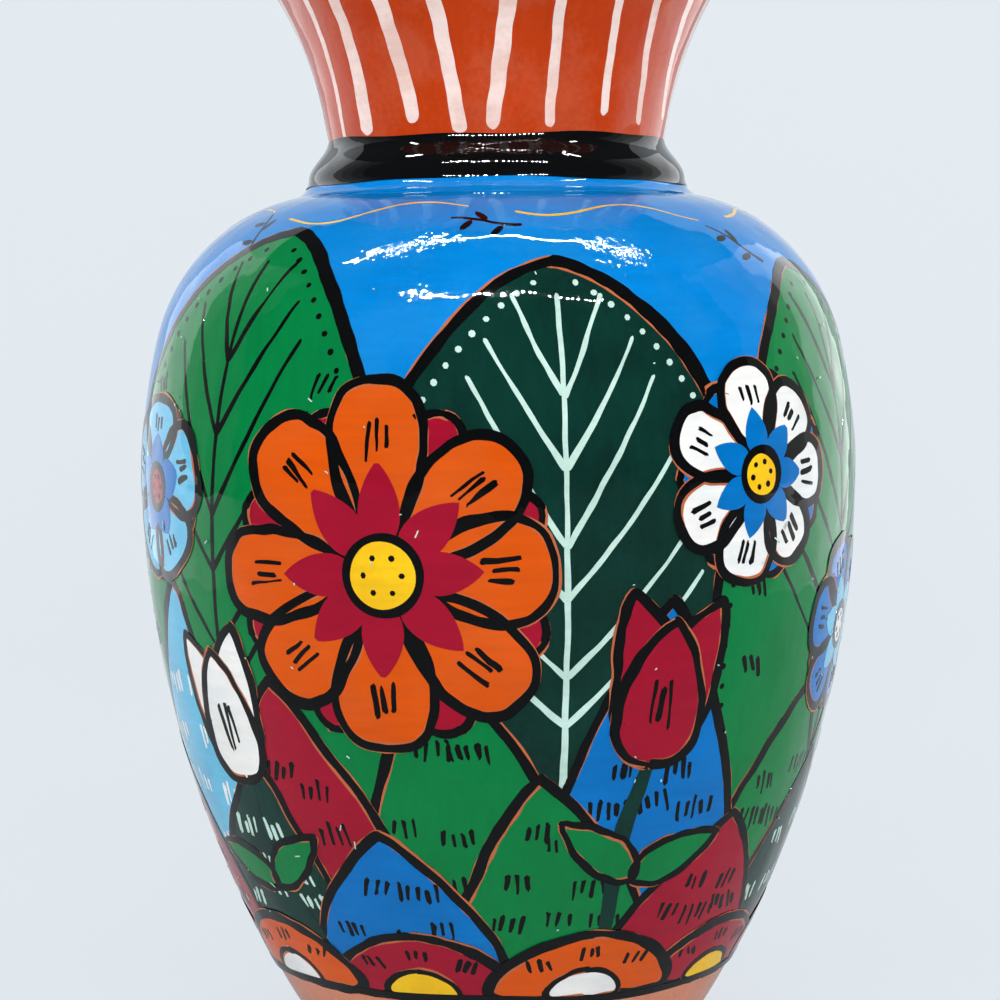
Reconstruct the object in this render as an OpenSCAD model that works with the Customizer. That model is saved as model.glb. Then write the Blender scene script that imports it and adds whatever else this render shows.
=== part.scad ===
// Shouldered terracotta vase: a foot ring, a floor slab, two thrown bowls, a flared neck and a
// collar coil, bonded to each other by thin layers of clay slip. Millimetres, Z up, the table at Z = 0.

/* [Body] */
// Widest outer diameter of the body
belly_d = 154.4; // [146:0.2:164]
// Height of the widest ring above the table
belly_z = 126; // [115:1:140]
// Radius of the curve just above the widest ring
upper_curve_r = 121; // [105:1:140]
// Radius of the shoulder's curve
shoulder_curve_r = 40; // [35:0.5:45]
// Angle round the upper curve at which the shoulder's curve begins
shoulder_start = 14; // [8:0.5:20]
// Thickness of the body's wall
body_wall = 6.5; // [5:0.1:8]

/* [Foot] */
// Outer diameter of the foot at the table, before its bevel
foot_d = 78.2; // [70:0.2:90]
// Height of the foot ring
foot_h = 12; // [9:0.5:16]
// Width that the bevel takes off the foot's underside
foot_bevel = 1.6; // [0.5:0.1:2.5]
// Angle of the bevel above the table
bevel_rise = 30; // [20:1:40]
// Depth of the hollow under the floor slab
foot_recess = 3; // [2:0.25:5]
// Thickness of the foot ring round the slab's underside
foot_rim_w = 3.2; // [2.5:0.1:4.5]
// Width of the ledge that carries the floor slab
ledge_w = 8; // [5:0.5:12]

/* [Neck] */
// Narrowest outer diameter of the neck
throat_d = 71.6; // [66:0.2:78]
// Height of the narrowest ring above the shoulder's seat
throat_rise = 2.4; // [1:0.1:4]
// Radius of the neck's outward curve
flare_curve_r = 80; // [70:1:100]
// Height from the shoulder's seat to the top of the lip
neck_h = 55; // [45:1:62]
// Thickness of the neck's wall
neck_wall = 5.5; // [4.5:0.1:6.5]
// Diameter of the rolled lip
lip_d = 6.8; // [6.6:0.1:9]

/* [Collar] */
// Diameter of the clay coil wrapped round the neck joint
coil_d = 14; // [12:0.5:17]
// Height of the coil's centre above the shoulder's seat
coil_rise = 2.4; // [1.5:0.1:4]
// How far the coil stands out from the narrowest ring of the neck
collar_out = 4.9; // [3.5:0.1:6]

/* [Joints] */
// Thickness of the slip layer in every joint
slip_t = 0.4; // [0.3:0.05:0.6]
// Width of the tongue in the belly joint
tongue_w = 2.2; // [1.6:0.1:2.8]
// Length of the tongue in the belly joint
tongue_h = 2.5; // [1.5:0.1:4]
// Width of the neck's spigot
spigot_w = 2.4; // [1.8:0.1:3]
// Length of the neck's spigot
spigot_h = 5; // [3:0.25:6]

/* [Hidden] */
$fn = 240;

terracotta = "#c4633a";
field_green = "#12804a";
sky_blue = "#0a8fdc";
collar_black = "#16181a";
neck_orange = "#c2481a";
slip_tan = "#b98a66";

// A derived size, kept to a thousandth of a millimetre so that neighbours meet exactly
function kept(size) = round(size * 1000) / 1000;

belly_r = belly_d / 2;
foot_r = foot_d / 2;

// The lower wall is one arc, upright at the widest ring, that runs down to the foot's edge.
taper = belly_r - foot_r;
lower_curve_r = kept((belly_z * belly_z + taper * taper) / (2 * taper));
lower_centre = [belly_r - lower_curve_r, belly_z];

// The upper wall is two tangent arcs: a long one, then the shoulder's.
upper_centre = [belly_r - upper_curve_r, belly_z];
shoulder_centre = [
    kept(upper_centre.x + (upper_curve_r - shoulder_curve_r) * cos(shoulder_start)),
    kept(upper_centre.y + (upper_curve_r - shoulder_curve_r) * sin(shoulder_start))
];

// Outer radius of the lower wall at a height, inset by a depth measured square to the wall
function lower_r(z, inset = 0) =
    lower_centre.x + sqrt(pow(lower_curve_r - inset, 2) - pow(belly_z - z, 2));

floor_seat_r = kept(lower_r(foot_recess) - foot_rim_w);
foot_bore_r = floor_seat_r - ledge_w;

throat_r = throat_d / 2;
throat_bore_r = throat_r - neck_wall;
coil_r = coil_d / 2;
coil_centre_r = throat_r + collar_out - coil_r;

// The shoulder is cut flat where the coil's outer edge comes down on it.
seat_r = coil_centre_r + sqrt(coil_r * coil_r - coil_rise * coil_rise);
seat_reach = max(0, seat_r - shoulder_centre.x);
seat_z = kept(shoulder_centre.y + sqrt(pow(shoulder_curve_r, 2) - pow(seat_reach, 2)));
spigot_r = throat_bore_r + spigot_w;
opening_r = spigot_r + slip_t;

throat_z = seat_z + throat_rise;
flare_centre = [throat_r + flare_curve_r, throat_z];
rim_z = seat_z + neck_h;
lip_z = rim_z - lip_d / 2;
mid_flare_r = flare_curve_r + neck_wall / 2;
lip_turn = asin((lip_z - throat_z) / mid_flare_r);
lip_r = flare_centre.x - mid_flare_r * cos(lip_turn);

tongue_r = belly_r - body_wall / 2;
// Larger than any half-section, for cutting planes
reach = belly_d + rim_z;

// Half-section of a ring: radii r0 to r1, heights z0 to z1
module ring_section(r0, r1, z0, z1) {
    translate([r0, z0]) square([r1 - r0, z1 - z0]);
}

// Half-section inside the lower wall's arc, from z0 up to z1
module lower_fill(inset, z0, z1) {
    intersection() {
        translate(lower_centre) circle(lower_curve_r - inset);
        ring_section(0, reach, z0, z1);
    }
}

// Half-section of the lower wall from z0 up to z1
module lower_wall(z0, z1) {
    difference() {
        lower_fill(0, z0, z1);
        lower_fill(body_wall, z0 - 1, z1 + 1);
    }
}

// Half-section inside the upper wall's two arcs, from z0 up to the shoulder's crown
module upper_fill(inset, z0) {
    blend_z = kept(belly_z + (upper_curve_r - inset) * sin(shoulder_start));
    union() {
        intersection() {
            translate(upper_centre) circle(upper_curve_r - inset);
            ring_section(0, reach, z0, blend_z);
        }
        intersection() {
            union() {
                translate(shoulder_centre) circle(shoulder_curve_r - inset);
                ring_section(0, shoulder_centre.x, belly_z, shoulder_centre.y + shoulder_curve_r - inset);
            }
            ring_section(0, reach, blend_z, reach);
        }
    }
}

// Half-section outside the neck's outer face, kept clear of it by a gap
module outside_neck(gap) {
    ring_section(throat_r + gap, reach, 0, throat_z);
    intersection() {
        translate(flare_centre) circle(flare_curve_r - gap);
        ring_section(0, flare_centre.x, throat_z, reach);
    }
}

// Half-section of the collar's coil above a floor height and clear of the neck by a gap
module coil_section(floor_z, gap) {
    intersection() {
        translate([coil_centre_r, seat_z + coil_rise]) circle(coil_r);
        ring_section(0, reach, floor_z, reach);
        outside_neck(gap);
    }
}

// Ring that stands on the table, with a rebate for the floor slab
module foot_ring() {
    color(terracotta) rotate_extrude() difference() {
        lower_fill(0, 0, foot_h);
        ring_section(0, foot_bore_r, -1, foot_h + 1);
        ring_section(0, floor_seat_r, foot_recess, foot_h + 1);
        translate([foot_r - foot_bevel, 0]) rotate(bevel_rise - 90) square(reach);
    }
}

// Round slab that closes the bottom
module floor_slab() {
    color(terracotta) translate([0, 0, foot_recess + slip_t])
        cylinder(r = floor_seat_r - slip_t, h = foot_h - foot_recess - slip_t);
}

// Thrown bowl from the foot to the widest ring, grooved along its top edge
module lower_bowl() {
    color(field_green) rotate_extrude() difference() {
        lower_wall(foot_h + slip_t, belly_z);
        ring_section(tongue_r - tongue_w / 2 - slip_t, tongue_r + tongue_w / 2 + slip_t,
                     belly_z - tongue_h, belly_z + 1);
    }
}

// Thrown bowl set upside down on the first, with a tongue below and an opening for the neck
module shoulder_bowl() {
    color(sky_blue) rotate_extrude() {
        intersection() {
            difference() {
                upper_fill(0, belly_z);
                upper_fill(body_wall, belly_z - 1);
            }
            ring_section(opening_r, reach, belly_z + slip_t, seat_z);
        }
        ring_section(tongue_r - tongue_w / 2, tongue_r + tongue_w / 2,
                     belly_z + slip_t - tongue_h, belly_z + slip_t);
    }
}

// Clay coil pressed into the corner between the neck and the shoulder
module collar_coil() {
    color(collar_black) rotate_extrude() coil_section(seat_z + slip_t, slip_t);
}

// Flared neck with a rolled lip and a spigot that drops into the shoulder
module neck() {
    color(neck_orange) rotate_extrude() {
        intersection() {
            difference() {
                translate(flare_centre) circle(flare_curve_r + neck_wall);
                translate(flare_centre) circle(flare_curve_r);
            }
            translate(flare_centre) rotate(180 - lip_turn) square(reach);
            translate(flare_centre) rotate(90) square(reach);
        }
        translate([lip_r, lip_z]) circle(lip_d / 2);
        ring_section(throat_bore_r, throat_r, seat_z + slip_t, throat_z);
        ring_section(throat_bore_r, spigot_r, seat_z + slip_t - spigot_h, seat_z + slip_t);
    }
}

// Slip under the floor slab and round its edge
module floor_slip() {
    color(slip_tan) rotate_extrude() {
        ring_section(foot_bore_r, floor_seat_r, foot_recess, foot_recess + slip_t);
        ring_section(floor_seat_r - slip_t, floor_seat_r, foot_recess + slip_t, foot_h);
    }
}

// Slip between the foot ring and the lower bowl
module foot_slip() {
    color(slip_tan) rotate_extrude() lower_wall(foot_h, foot_h + slip_t);
}

// Slip in the tongue and groove between the two bowls
module belly_slip() {
    color(slip_tan) rotate_extrude() difference() {
        union() {
            ring_section(belly_r - body_wall, belly_r, belly_z, belly_z + slip_t);
            ring_section(tongue_r - tongue_w / 2 - slip_t, tongue_r + tongue_w / 2 + slip_t,
                         belly_z - tongue_h, belly_z);
        }
        ring_section(tongue_r - tongue_w / 2, tongue_r + tongue_w / 2,
                     belly_z + slip_t - tongue_h, belly_z + slip_t + 1);
    }
}

// Slip under the collar coil and behind it
module collar_slip() {
    color(slip_tan) rotate_extrude() difference() {
        coil_section(seat_z, 0);
        coil_section(seat_z + slip_t, slip_t);
    }
}

// Slip between the neck and the shoulder, on the seat and round the spigot
module neck_slip() {
    color(slip_tan) rotate_extrude() {
        ring_section(spigot_r, throat_r, seat_z, seat_z + slip_t);
        ring_section(spigot_r, opening_r, seat_z + slip_t - spigot_h, seat_z);
    }
}

foot_ring();
floor_slab();
lower_bowl();
shoulder_bowl();
collar_coil();
neck();
floor_slip();
foot_slip();
belly_slip();
collar_slip();
neck_slip();
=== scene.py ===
"""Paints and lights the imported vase: fired clay, brushed coats of paint and a gloss varnish."""

import math
import random

import bpy
import numpy as np
from bpy.props import FloatProperty, FloatVectorProperty, IntProperty, PointerProperty
from mathutils import Color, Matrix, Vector
from mathutils.geometry import delaunay_2d_cdt


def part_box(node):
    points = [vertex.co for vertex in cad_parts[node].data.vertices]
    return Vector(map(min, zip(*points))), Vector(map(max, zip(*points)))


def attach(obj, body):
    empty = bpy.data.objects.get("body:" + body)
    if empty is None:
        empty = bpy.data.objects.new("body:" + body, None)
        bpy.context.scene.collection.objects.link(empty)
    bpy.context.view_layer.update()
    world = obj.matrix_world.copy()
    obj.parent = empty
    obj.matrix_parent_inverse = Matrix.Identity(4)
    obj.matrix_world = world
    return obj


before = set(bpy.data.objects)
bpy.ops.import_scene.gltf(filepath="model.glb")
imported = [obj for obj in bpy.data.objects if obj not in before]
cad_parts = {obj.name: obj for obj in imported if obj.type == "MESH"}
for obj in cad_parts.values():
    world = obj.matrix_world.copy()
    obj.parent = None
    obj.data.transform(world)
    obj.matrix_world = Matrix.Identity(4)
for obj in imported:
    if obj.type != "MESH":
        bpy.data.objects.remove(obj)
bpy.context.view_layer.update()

bl_info = {
    "name": "Painted clay vase",
    "version": (1, 0, 0),
    "blender": (4, 5, 0),
    "location": "3D View > Sidebar > Vase",
    "description": "Lays paint, line work and varnish on a thrown clay vase and lights it",
    "category": "Add Mesh",
}

MM = 0.001
# Stands in for nought in a division
TINY = 1e-9


def srgb(*display):
    """Linear colour from 0 to 255 display values."""
    return tuple(Color([value / 255 for value in display]).from_srgb_to_scene_linear())


def length_prop(name, description, millimetres):
    """A length that a user may change, given in millimetres."""
    default = millimetres * MM
    return FloatProperty(name=name, description=description, default=default, unit="LENGTH", precision=5)


def colour_prop(name, description, *display):
    """A paint colour that a user may change, given as display values."""
    return FloatVectorProperty(
        name=name, description=description, default=srgb(*display), subtype="COLOR", size=3, min=0, max=1
    )


class VaseSizes(bpy.types.PropertyGroup):
    """Sizes of the coats and brush strokes."""

    coat_lift: length_prop("Coat lift", "Height of the ground coats over the clay", 0.16)
    layer_step: length_prop("Layer step", "Height between one layer of paint and the next", 0.01)
    film: length_prop("Film", "Thickness of a layer of paint, its lower part sunk in the one below", 0.08)
    grid: length_prop("Grid", "Spacing of the mesh over a filled shape", 1.9)
    body_dents: length_prop("Body dents", "Height of the body's hand-thrown unevenness", 0.32)
    collar_dents: length_prop("Collar dents", "Height of the collar's finger marks", 0.2)
    neck_dents: length_prop("Neck dents", "Height of the neck's unevenness", 0.32)
    paint_low: length_prop("Paint low", "Distance up the outline to the paint's lower edge", 20.0)
    hatch_width: length_prop("Hatch width", "Width of the short hatch strokes", 1.0)
    black_start: length_prop("Black start", "How far over the coil's underside the black starts", 0.9)
    black_rise: length_prop("Black rise", "Height of the collar's black up the neck", 2.6)
    lip_turn_in: length_prop("Lip turn in", "About how far the neck's paint runs down inside the lip", 11.0)
    seed: IntProperty(name="Seed", description="Start of the unsteady hand's random numbers", default=11)


class VaseColours(bpy.types.PropertyGroup):
    """Colours of the clay and the paints."""

    clay: colour_prop("Clay", "Bare fired clay", 188, 104, 66)
    foot_clay: colour_prop("Varnished clay", "Bare clay under the varnish", 204, 128, 98)
    slip: colour_prop("Slip", "Fired slip in the joints", 172, 112, 76)
    sky: colour_prop("Sky blue", "Ground of the shoulder", 0, 126, 206)
    dark_green: colour_prop("Dark green", "Deep leaves", 9, 52, 44)
    green: colour_prop("Green", "Bright leaves", 2, 122, 62)
    orange: colour_prop("Orange", "Large petals", 214, 84, 10)
    crimson: colour_prop("Crimson", "Red petals", 158, 16, 44)
    blue: colour_prop("Blue", "Blue petals", 0, 112, 190)
    light_blue: colour_prop("Light blue", "Pale blue petals", 104, 190, 226)
    white: colour_prop("White", "White petals", 240, 239, 236)
    mint: colour_prop("Mint", "Thin white over dark green", 196, 226, 216)
    stripe: colour_prop("Stripe white", "Thin white over the orange neck", 244, 218, 208)
    yellow: colour_prop("Yellow", "Flower centres", 246, 200, 28)
    black: colour_prop("Black", "Collar and line work", 8, 9, 10)
    neck: colour_prop("Neck orange", "Ground of the neck", 187, 58, 10)


def sizes():
    """The user's sizes."""
    return bpy.context.scene.vase_sizes


def colours():
    """The user's colours."""
    return bpy.context.scene.vase_colours


def mm(value):
    """A property's metres as millimetres, the unit of the canvas."""
    return value / MM


def node_top(name):
    """Height of a CAD node's top, in millimetres."""
    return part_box(name)[1][2] / MM


# The vase's outlines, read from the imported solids


def node_rings(name):
    """Radius, height and outward slant of every vertex of a CAD node, in millimetres."""
    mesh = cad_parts[name].data
    count = len(mesh.vertices)
    places = np.empty(count * 3)
    normals = np.empty(count * 3)
    mesh.vertices.foreach_get("co", places)
    mesh.vertex_normals.foreach_get("vector", normals)
    places = places.reshape(-1, 3) / MM
    normals = normals.reshape(-1, 3)
    radius = np.hypot(places[:, 0], places[:, 1])
    slant = (places[:, 0] * normals[:, 0] + places[:, 1] * normals[:, 1]) / np.maximum(radius, TINY)
    return radius, places[:, 2], slant


def thinned(points, gap):
    """The points with at least this gap between neighbours, both ends kept."""
    kept = [points[0]]
    for point in points[1:-1]:
        if math.dist(point, kept[-1]) >= gap and math.dist(point, points[-1]) >= gap:
            kept.append(point)
    return kept + [points[-1]]


def bulging_outline(names):
    """Outer outline, foot to top, of nodes whose profile only bulges outwards: half their convex hull."""
    points = sorted({(round(z, 3), round(r, 3)) for n in names for r, z in zip(*node_rings(n)[:2])})
    hull = []
    for z, r in points:
        while len(hull) > 1:
            (z1, r1), (z2, r2) = hull[-2:]
            if (z2 - z1) * (r - r1) < (r2 - r1) * (z - z1):
                break
            hull.pop()
        hull.append((z, r))
    return [(r, z) for z, r in hull]


def facing_outline(name, side):
    """Outline of a node's outward (1) or inward (-1) faces by rising height."""
    least_slant = 0.05
    radius, height, slant = node_rings(name)
    rings = {round(z, 2): r for r, z, s in zip(radius, height, slant) if side * s > least_slant}
    return [(rings[z], z) for z in sorted(rings)]


class Outline:
    """A smooth curve through outline points, by distance along it in millimetres."""

    def __init__(self, points):
        self.points = np.array(points)
        steps = np.hypot(*np.diff(self.points, axis=0).T)
        self.knots = np.concatenate(([0.0], np.cumsum(steps)))
        self.length = self.knots[-1]
        self.bends = self.spline_bends(steps)

    def spline_bends(self, steps):
        """Second derivatives of the natural cubic spline at the knots."""
        count = len(self.knots)
        system = np.eye(count)
        slopes = np.diff(self.points, axis=0) / steps[:, None]
        right = np.zeros((count, 2))
        for i in range(1, count - 1):
            system[i, i - 1 : i + 2] = steps[i - 1], 2 * (steps[i - 1] + steps[i]), steps[i]
            right[i] = 6 * (slopes[i] - slopes[i - 1])
        return np.linalg.solve(system, right)

    def at(self, distance):
        """Radius, height and the outward normal's radial and upward parts."""
        distance = np.clip(np.asarray(distance, dtype=float), 0, self.length)
        i = np.clip(np.searchsorted(self.knots, distance) - 1, 0, len(self.knots) - 2)
        step = (self.knots[i + 1] - self.knots[i])[:, None]
        low = (self.knots[i + 1] - distance)[:, None] / step
        high = 1 - low
        start, end = self.points[i], self.points[i + 1]
        bend_low, bend_high = self.bends[i], self.bends[i + 1]
        place = low * start + high * end
        place = place + ((low**3 - low) * bend_low + (high**3 - high) * bend_high) * step**2 / 6
        run = (end - start) / step
        run = run + ((3 * high**2 - 1) * bend_high - (3 * low**2 - 1) * bend_low) * step / 6
        run = run / np.hypot(run[:, 0], run[:, 1])[:, None]
        return place[:, 0], place[:, 1], run[:, 1], -run[:, 0]

    def reach(self, height):
        """Distance along the curve at which it first comes to this height."""
        samples = np.linspace(0, self.length, 2000)
        return float(samples[np.argmax(self.at(samples)[1] >= height)])


# Waves that make a thrown wall uneven: the most of them round the vase, the range of their pitches up the
# wall in millimetres, and the least size of one beside the others
MOST_TURNS = 9
WAVE_PITCHES = (28, 60)
LEAST_WAVE = 0.3


class Surface:
    """A coat's ground: an outline turned round the axis, uneven as a hand-thrown wall is.

    Canvas points are (u, v): u runs round the vase to the viewer's right from the front, in
    millimetres at the girth, and v runs up the outline. A third column is the lift off the clay.
    """

    def __init__(self, outline, dents, waves, fades, seed):
        self.outline = outline
        self.girth = float(outline.points[:, 0].max())
        self.fades = fades
        hand = random.Random(seed)
        self.waves = []
        for _ in range(waves):
            turns = hand.randint(1, MOST_TURNS)
            rise = hand.uniform(-1, 1) * math.tau / hand.uniform(*WAVE_PITCHES)
            self.waves.append((hand.uniform(LEAST_WAVE, 1), turns, rise, hand.uniform(0, math.tau)))
        self.dent_height = dents / sum(wave[0] for wave in self.waves)

    def radius(self, v):
        """Radius of the clay at a height up the outline."""
        return self.outline.at(v)[0]

    def dents(self, angle, v):
        """Unevenness, never below the clay and smoothed away towards both ends."""
        height = np.zeros_like(angle)
        for size, turns, rise, phase in self.waves:
            height += size * (1 + np.cos(turns * angle + rise * v + phase))
        for edge, gap in zip((v, self.outline.length - v), self.fades):
            share = np.clip(edge / gap, 0, 1)
            height *= share * share * (3 - 2 * share)
        return height * self.dent_height

    def points(self, canvas, dented=True):
        """Places in metres of canvas points with their lifts."""
        angle = canvas[:, 0] / self.girth
        radius, height, out, up = self.outline.at(canvas[:, 1])
        lift = canvas[:, 2] + (self.dents(angle, canvas[:, 1]) if dented else 0)
        radius = radius + out * lift
        return np.column_stack((radius * np.sin(angle), -radius * np.cos(angle), height + up * lift)) * MM

    def normals(self, canvas):
        """Outward normals of the uneven ground."""
        step = 0.05
        canvas = canvas.copy()
        canvas[:, 1] = np.clip(canvas[:, 1], step, self.outline.length - step)
        moves = ((step, 0, 0), (0, step, 0))
        runs = [self.points(canvas + move) - self.points(canvas - move) for move in moves]
        normal = np.cross(*runs)
        return normal / np.linalg.norm(normal, axis=1)[:, None]


# Least gaps in millimetres between the outline points of the wall, the collar and the neck
WALL_GAP = 3.0
COLLAR_GAP = 1.1
NECK_GAP = 1.0


def collar_foot():
    """The shoulder's last stretch up to a small fillet, and the coil's roll above the fillet."""
    fillet_out = 2.2
    fillet_drop = 0.7
    skirt_width = 3
    bare_top = 2.0
    coil = bulging_outline(("collar_coil",))
    wide, middle = max(coil)
    top = coil[-1][1]
    skirt = [p for p in bulging_outline(("shoulder_bowl",)) if 0 < p[0] - wide - fillet_out < skirt_width]
    roll = [p for p in coil if middle - fillet_drop <= p[1] < top - bare_top]
    return skirt, roll


def body_surface():
    """The outside of the body, foot to collar and a little way up its roll."""
    bevel_top = 2.5
    roll_points = 3
    skirt, roll = collar_foot()
    wall = bulging_outline(("foot_ring", "lower_bowl", "shoulder_bowl"))
    wall = [p for p in wall if bevel_top <= p[1] < skirt[0][1]]
    points = thinned(wall, WALL_GAP) + thinned(skirt + roll[:roll_points], COLLAR_GAP)
    return Surface(Outline(points), mm(sizes().body_dents), waves=9, fades=(12, 18), seed=sizes().seed)


def neck_surface():
    """The outside of the neck, over the lip and down inside it."""
    under_coil = 1
    spare_inside = 6
    outer_low = node_top("collar_coil") - under_coil
    inner_low = node_top("neck") - mm(sizes().lip_turn_in) - spare_inside
    outside = [p for p in facing_outline("neck", 1) if p[1] > outer_low]
    inside = [p for p in facing_outline("neck", -1) if p[1] > inner_low]
    points = thinned(outside, NECK_GAP) + thinned(inside[::-1], NECK_GAP)
    return Surface(Outline(points), mm(sizes().neck_dents), waves=6, fades=(9, 9), seed=sizes().seed + 1)


def collar_surface():
    """The collar's coil, up a fillet from the shoulder, over the roll and up the root of the neck."""
    root_low = 1.8
    root_high = 9
    skirt, roll = collar_foot()
    coil_top = node_top("collar_coil")
    root = [p for p in facing_outline("neck", 1) if coil_top + root_low < p[1] < coil_top + root_high]
    outline = Outline(thinned(skirt + roll + root, COLLAR_GAP))
    return Surface(outline, mm(sizes().collar_dents), waves=8, fades=(3, 8), seed=sizes().seed + 2)


# Films of paint

# Triangulation of a filled shape: what lies inside its outline, and the gap in which points are merged
INSIDE_ONLY = 1
MERGE_GAP = 1e-4


class Film:
    """One piece of paint: patches of canvas, closed below into a thin solid."""

    def __init__(self, surface):
        self.surface = surface
        self.spots = []
        self.faces = []
        self.count = 0

    def patch(self, canvas, lift, faces):
        """Adds a patch of canvas points at one lift, with faces that run anticlockwise."""
        canvas = np.asarray(canvas, dtype=float)
        self.spots.append(np.column_stack((canvas[:, :2], np.full(len(canvas), lift))))
        self.faces += [tuple(i + self.count for i in face) for face in faces]
        self.count += len(canvas)

    def fill(self, loop, lift, grid):
        """A filled shape: its outline's points and an even grid inside it."""
        inside = grid_inside(loop, grid)
        points = [Vector(p) for p in np.vstack((loop, inside))]
        verts, _, faces, *_ = delaunay_2d_cdt(points, [], [list(range(len(loop)))], INSIDE_ONLY, MERGE_GAP)
        self.patch([tuple(v) for v in verts], lift, faces)

    def line(self, path, width, lift, closed=False):
        """A brush stroke along canvas points, its width given at each point."""
        stretch = self.surface.radius(path[:, 1]) / self.surface.girth
        true = np.column_stack((path[:, 0] * stretch.mean(), path[:, 1]))
        run = np.roll(true, -1, 0) - np.roll(true, 1, 0) if closed else np.gradient(true, axis=0)
        run /= np.maximum(np.hypot(run[:, 0], run[:, 1]), TINY)[:, None]
        offset = np.column_stack((-run[:, 1] / stretch, run[:, 0])) * (np.asarray(width) / 2)[:, None]
        count = len(path)
        quads = []
        for i in range(count if closed else count - 1):
            after = (i + 1) % count
            for row in (0, count):
                quads.append((row + count + i, row + count + after, row + after, row + i))
        self.patch(np.vstack((path + offset, path, path - offset)), lift, quads)

    def ring(self, low, high, lift, columns, rows):
        """A coat all round the vase between two edges, each a function of the angle from the front."""
        angles = np.arange(columns) * math.tau / columns - math.pi
        share = np.linspace(0, 1, rows + 1)
        bottom, top = low(angles), high(angles)
        v = bottom[None, :] + (top - bottom)[None, :] * share[:, None]
        u = np.broadcast_to(angles * self.surface.girth, v.shape)
        quads = []
        for row in range(rows):
            start = row * columns
            over = start + columns
            for column in range(columns):
                after = (column + 1) % columns
                quads.append((start + column, start + after, over + after, over + column))
        self.patch(np.column_stack((u.ravel(), v.ravel())), lift, quads)

    def build(self, name, material, slot, sunk=0.0):
        """Makes the mesh object, smooth across its patches, and rides it on the vase.

        A film laid on the clay is sunk into it by some depth. Any other reaches into the paint below.
        """
        top = np.vstack(self.spots)
        if sunk:
            flat = np.column_stack((top[:, :2], np.full(len(top), -sunk)))
            base = self.surface.points(flat, dented=False)
        else:
            base = self.surface.points(top - (0, 0, mm(sizes().film)))
        edges = dict.fromkeys(edge for face in self.faces for edge in zip(face, face[1:] + face[:1]))
        rims = [(a, b) for a, b in edges if (b, a) not in edges]
        faces = list(self.faces)
        faces += [tuple(i + self.count for i in reversed(face)) for face in self.faces]
        faces += [(b, a, a + self.count, b + self.count) for a, b in rims]
        mesh = bpy.data.meshes.new(name)
        mesh.from_pydata(np.vstack((self.surface.points(top), base)).tolist(), [], faces)
        mesh.shade_smooth()
        normals = self.surface.normals(top)
        mesh.normals_split_custom_set_from_vertices(np.vstack((normals, normals)).tolist())
        mesh.materials.append(material)
        piece = bpy.data.objects.new(name, mesh)
        bpy.context.scene.collection.objects.link(piece)
        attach(piece, "root")


def grid_inside(loop, grid):
    """Points of an even triangular grid that lie inside a closed loop and clear of its edge."""
    edge_gap = grid * 0.55
    low, high = loop.min(0), loop.max(0)
    row_gap = grid * math.sqrt(3) / 2
    rows = np.arange(low[1] + row_gap / 2, high[1], row_gap)
    points = []
    for n, y in enumerate(rows):
        xs = np.arange(low[0] + (n % 2) * grid / 2, high[0], grid)
        points += [(x, y) for x in xs]
    if not points:
        return np.empty((0, 2))
    points = np.array(points)
    after = np.roll(loop, -1, 0)
    crosses = (loop[None, :, 1] > points[:, None, 1]) != (after[None, :, 1] > points[:, None, 1])
    rise = np.where(after[:, 1] == loop[:, 1], TINY, after[:, 1] - loop[:, 1])
    at = loop[:, 0] + (points[:, None, 1] - loop[:, 1]) * (after[:, 0] - loop[:, 0]) / rise
    inside = (crosses & (points[:, None, 0] < at)).sum(1) % 2 == 1
    points = points[inside]
    clear = np.hypot(*(points[:, None, :] - loop[None, :, :]).transpose(2, 0, 1)).min(1) > edge_gap
    return points[clear]


def distances(path):
    """Distance along a path to each of its points."""
    return np.concatenate(([0.0], np.cumsum(np.hypot(*np.diff(path, axis=0).T))))


def points_along(path, runs, stops):
    """Points of a path at these distances along it."""
    return np.column_stack([np.interp(stops, runs, path[:, i]) for i in (0, 1)])


def evenly(path, gap, closed=False):
    """A path's points again, evenly spaced along it."""
    fewest = 4
    path = np.asarray(path, dtype=float)
    if closed:
        path = np.vstack((path, path[:1]))
    runs = distances(path)
    stops = np.linspace(0, runs[-1], max(fewest, math.ceil(runs[-1] / gap) + 1))
    if closed:
        stops = stops[:-1]
    return points_along(path, runs, stops)


def wavy(height, *waves):
    """An edge about a height, by the angle: each wave is a size, a number round the vase and a phase."""
    return lambda angle: np.full_like(angle, height) + sum(
        size * np.cos(turns * angle + phase) for size, turns, phase in waves
    )


def lower_edge():
    """The lower edge of the paint."""
    return wavy(mm(sizes().paint_low), (0.5, 3, 1), (0.3, 7, 0))


# Shapes a painter's brush makes, in millimetres from the motif's own root

BLADE_POINTS = 40
OVAL_POINTS = 40


def blade(length, width, root_power, tip_power, bend=0.0):
    """Left and right edges, root to tip, of a leaf or petal.

    A power near one ends it in a point, and one near a half rounds it.
    """
    share = (1 - np.cos(np.linspace(0, math.pi, BLADE_POINTS))) / 2
    total = root_power + tip_power
    peak = (root_power / total) ** root_power * (tip_power / total) ** tip_power
    half = width / 2 * share**root_power * (1 - share) ** tip_power / peak
    spine = bend * share**2
    left = np.column_stack((spine - half, length * share))
    right = np.column_stack((spine + half, length * share))
    return left, right


def around_blade(edges):
    """A blade's two edges as one closed loop."""
    return np.vstack((edges[0], edges[1][::-1]))


def spun(x, y, turn):
    """Coordinates turned about the motif's root, by an angle in radians."""
    return x * math.cos(turn) - y * math.sin(turn), x * math.sin(turn) + y * math.cos(turn)


def oval(width, height, turn=0.0, points=OVAL_POINTS):
    """A closed oval about the motif's root."""
    angle = np.linspace(0, math.tau, points, endpoint=False)
    return np.column_stack(spun(width / 2 * np.cos(angle), height / 2 * np.sin(angle), turn))


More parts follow.
